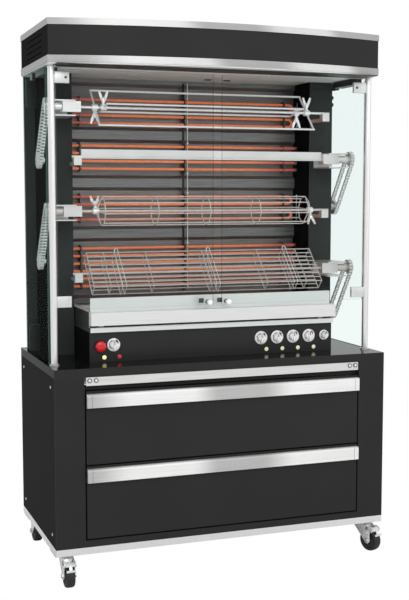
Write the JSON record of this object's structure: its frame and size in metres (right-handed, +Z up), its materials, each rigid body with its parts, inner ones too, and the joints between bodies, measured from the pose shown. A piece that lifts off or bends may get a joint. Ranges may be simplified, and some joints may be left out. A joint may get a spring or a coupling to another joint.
{
  "type": "electric skewer grill",
  "caption": "Electric skewer grill: glazed tower with chain-driven spits over a drip tray, on a drawer cabinet with casters.",
  "frame": {"origin": "floor level, below the middle of the cabinet", "axes": "+Z up, front towards -Y, +X to the right seen from the front"},
  "size_m": [1.2, 0.6103, 1.856],
  "materials": {
    "black_enamel": "satin",
    "stainless": "brushed",
    "dark_steel": "matte",
    "reflector_steel": "satin",
    "heating_rod": "matte",
    "clear_glass": "clear",
    "chain_steel": "satin",
    "zinc_plate": "satin",
    "motor_grey": "satin",
    "lamp_lens": "gloss",
    "knob_silver": "satin",
    "stop_red": "gloss",
    "tyre_rubber": "matte"
  },
  "bodies": {
    "cabinet": {"bottom_frame": "stainless", "left_side_panel": "black_enamel", "right_side_panel": "black_enamel", "cabinet_back": "black_enamel", "cabinet_floor": "black_enamel", "front_frame": "black_enamel", "worktop": "black_enamel", "drawer_runners": "zinc_plate", "caster_plates": "zinc_plate", "control_box": "black_enamel", "tray_housing": "stainless", "motor_walls": "dark_steel", "rear_panel": "dark_steel", "reflectors": "reflector_steel", "heating_elements": "heating_rod", "element_supports": "zinc_plate", "ceiling_panel": "stainless", "hood_shell": "black_enamel", "hood_trims": "stainless", "side_glass": "clear_glass", "glass_fittings": "stainless", "indicator_lamps": "lamp_lens", "spit_brackets": "stainless", "gear_motors": "motor_grey", "drive_chains": "chain_steel"},
    "left_door": {"left_door_glass": "clear_glass", "left_door_post": "stainless"},
    "right_door": {"right_door_glass": "clear_glass", "right_door_post": "stainless"},
    "drip_tray": {"drip_tray": "stainless"},
    "pull_out_shelf": {"pull_out_shelf": "stainless"},
    "upper_drawer": {"upper_drawer": "black_enamel", "upper_drawer_grip": "stainless"},
    "lower_drawer": {"lower_drawer": "black_enamel", "lower_drawer_grip": "stainless"},
    "spit_1": {"spit_1": "stainless"},
    "spit_2": {"spit_2": "stainless"},
    "spit_3": {"spit_3": "stainless"},
    "spit_4": {"spit_4": "stainless"},
    "motor_sprocket_1": {"motor_sprocket_1": "chain_steel"},
    "motor_sprocket_2": {"motor_sprocket_2": "chain_steel"},
    "motor_sprocket_3": {"motor_sprocket_3": "chain_steel"},
    "motor_sprocket_4": {"motor_sprocket_4": "chain_steel"},
    "dial_1": {"dial_1": "knob_silver"},
    "dial_2": {"dial_2": "knob_silver"},
    "dial_3": {"dial_3": "knob_silver"},
    "dial_4": {"dial_4": "knob_silver"},
    "dial_5": {"dial_5": "knob_silver"},
    "selector_knob": {"selector_knob": "knob_silver"},
    "stop_button": {"stop_button": "stop_red"},
    "caster_front_left": {"caster_front_left": "zinc_plate"},
    "wheel_front_left": {"wheel_front_left": "tyre_rubber"},
    "caster_front_right": {"caster_front_right": "zinc_plate"},
    "wheel_front_right": {"wheel_front_right": "tyre_rubber"},
    "caster_rear_left": {"caster_rear_left": "zinc_plate"},
    "wheel_rear_left": {"wheel_rear_left": "tyre_rubber"},
    "caster_rear_right": {"caster_rear_right": "zinc_plate"},
    "wheel_rear_right": {"wheel_rear_right": "tyre_rubber"},
    "brake_pedal_left": {"brake_pedal_left": "zinc_plate"},
    "brake_pedal_right": {"brake_pedal_right": "zinc_plate"}
  },
  "joints": [
    {"name": "left_door_hinge", "type": "hinge", "parent": "cabinet", "child": "left_door", "pos_m": [-0.576, -0.183, 1.2], "axis": [0, 0, 1], "range_deg": [-110, 0]},
    {"name": "right_door_hinge", "type": "hinge", "parent": "cabinet", "child": "right_door", "pos_m": [0.576, -0.183, 1.2], "axis": [0, 0, 1], "range_deg": [0, 110]},
    {"name": "drip_tray_slide", "type": "slide", "parent": "cabinet", "child": "drip_tray", "axis": [0, -1, 0], "range_m": [0, 0.33]},
    {"name": "shelf_slide", "type": "slide", "parent": "cabinet", "child": "pull_out_shelf", "axis": [0, -1, 0], "range_m": [0, 0.3]},
    {"name": "upper_drawer_slide", "type": "slide", "parent": "cabinet", "child": "upper_drawer", "axis": [0, -1, 0], "range_m": [0, 0.4]},
    {"name": "lower_drawer_slide", "type": "slide", "parent": "cabinet", "child": "lower_drawer", "axis": [0, -1, 0], "range_m": [0, 0.4]},
    {"name": "spit_1_turn", "type": "hinge", "parent": "cabinet", "child": "spit_1", "pos_m": [0, -0.062, 1.589], "axis": [1, 0, 0], "continuous": true, "deforming": ["drive_chains"]},
    {"name": "spit_2_turn", "type": "hinge", "parent": "cabinet", "child": "spit_2", "pos_m": [0, -0.062, 1.423], "axis": [1, 0, 0], "continuous": true, "deforming": ["drive_chains"]},
    {"name": "spit_3_turn", "type": "hinge", "parent": "cabinet", "child": "spit_3", "pos_m": [0, -0.062, 1.238], "axis": [1, 0, 0], "continuous": true, "deforming": ["drive_chains"]},
    {"name": "spit_4_turn", "type": "hinge", "parent": "cabinet", "child": "spit_4", "pos_m": [0, -0.062, 1.024], "axis": [1, 0, 0], "continuous": true, "deforming": ["drive_chains"]},
    {"name": "motor_sprocket_1_turn", "type": "hinge", "parent": "cabinet", "child": "motor_sprocket_1", "pos_m": [-0.548, 0.063, 1.41297], "axis": [1, 0, 0], "continuous": true},
    {"name": "motor_sprocket_2_turn", "type": "hinge", "parent": "cabinet", "child": "motor_sprocket_2", "pos_m": [0.548, 0.063, 1.24697], "axis": [1, 0, 0], "continuous": true},
    {"name": "motor_sprocket_3_turn", "type": "hinge", "parent": "cabinet", "child": "motor_sprocket_3", "pos_m": [-0.548, 0.063, 1.06197], "axis": [1, 0, 0], "continuous": true},
    {"name": "motor_sprocket_4_turn", "type": "hinge", "parent": "cabinet", "child": "motor_sprocket_4", "pos_m": [0.548, 0.063, 0.84797], "axis": [1, 0, 0], "continuous": true},
    {"name": "dial_1_turn", "type": "hinge", "parent": "cabinet", "child": "dial_1", "pos_m": [0.173, -0.16, 0.788], "axis": [0, 1, 0], "range_deg": [0, 270]},
    {"name": "dial_2_turn", "type": "hinge", "parent": "cabinet", "child": "dial_2", "pos_m": [0.235, -0.16, 0.788], "axis": [0, 1, 0], "range_deg": [0, 270]},
    {"name": "dial_3_turn", "type": "hinge", "parent": "cabinet", "child": "dial_3", "pos_m": [0.297, -0.16, 0.788], "axis": [0, 1, 0], "range_deg": [0, 270]},
    {"name": "dial_4_turn", "type": "hinge", "parent": "cabinet", "child": "dial_4", "pos_m": [0.359, -0.16, 0.788], "axis": [0, 1, 0], "range_deg": [0, 270]},
    {"name": "dial_5_turn", "type": "hinge", "parent": "cabinet", "child": "dial_5", "pos_m": [0.42, -0.16, 0.788], "axis": [0, 1, 0], "range_deg": [0, 270]},
    {"name": "selector_turn", "type": "hinge", "parent": "cabinet", "child": "selector_knob", "pos_m": [-0.368, -0.16, 0.788], "axis": [0, 1, 0], "range_deg": [0, 180]},
    {"name": "stop_press", "type": "slide", "parent": "cabinet", "child": "stop_button", "axis": [0, 1, 0], "range_m": [0, 0.005]},
    {"name": "caster_front_left_swivel", "type": "hinge", "parent": "cabinet", "child": "caster_front_left", "pos_m": [-0.555, -0.227, 0.09], "axis": [0, 0, 1], "continuous": true},
    {"name": "caster_front_right_swivel", "type": "hinge", "parent": "cabinet", "child": "caster_front_right", "pos_m": [0.555, -0.227, 0.09], "axis": [0, 0, 1], "continuous": true},
    {"name": "caster_rear_left_swivel", "type": "hinge", "parent": "cabinet", "child": "caster_rear_left", "pos_m": [-0.555, 0.227, 0.09], "axis": [0, 0, 1], "continuous": true},
    {"name": "caster_rear_right_swivel", "type": "hinge", "parent": "cabinet", "child": "caster_rear_right", "pos_m": [0.555, 0.227, 0.09], "axis": [0, 0, 1], "continuous": true},
    {"name": "wheel_front_left_roll", "type": "hinge", "parent": "caster_front_left", "child": "wheel_front_left", "pos_m": [-0.555, -0.265, 0.04], "axis": [1, 0, 0], "continuous": true},
    {"name": "wheel_front_right_roll", "type": "hinge", "parent": "caster_front_right", "child": "wheel_front_right", "pos_m": [0.568, -0.26271, 0.04], "axis": [0.9397, 0.342, 0], "continuous": true},
    {"name": "wheel_rear_left_roll", "type": "hinge", "parent": "caster_rear_left", "child": "wheel_rear_left", "pos_m": [-0.555, 0.265, 0.04], "axis": [-1, 0, 0], "continuous": true},
    {"name": "wheel_rear_right_roll", "type": "hinge", "parent": "caster_rear_right", "child": "wheel_rear_right", "pos_m": [0.555, 0.265, 0.04], "axis": [-1, 0, 0], "continuous": true},
    {"name": "brake_pedal_left_tilt", "type": "hinge", "parent": "caster_front_left", "child": "brake_pedal_left", "pos_m": [-0.555, -0.285, 0.081], "axis": [1, 0, 0], "range_deg": [-15, 0]},
    {"name": "brake_pedal_right_tilt", "type": "hinge", "parent": "caster_front_right", "child": "brake_pedal_right", "pos_m": [0.57484, -0.2815, 0.081], "axis": [0.9397, 0.342, 0], "range_deg": [-15, 0]}
  ],
  "couplings": [
    {"joint": "motor_sprocket_1_turn", "follows": "spit_1_turn", "ratio": 1},
    {"joint": "motor_sprocket_2_turn", "follows": "spit_2_turn", "ratio": 1},
    {"joint": "motor_sprocket_3_turn", "follows": "spit_3_turn", "ratio": 1},
    {"joint": "motor_sprocket_4_turn", "follows": "spit_4_turn", "ratio": 1}
  ]
}
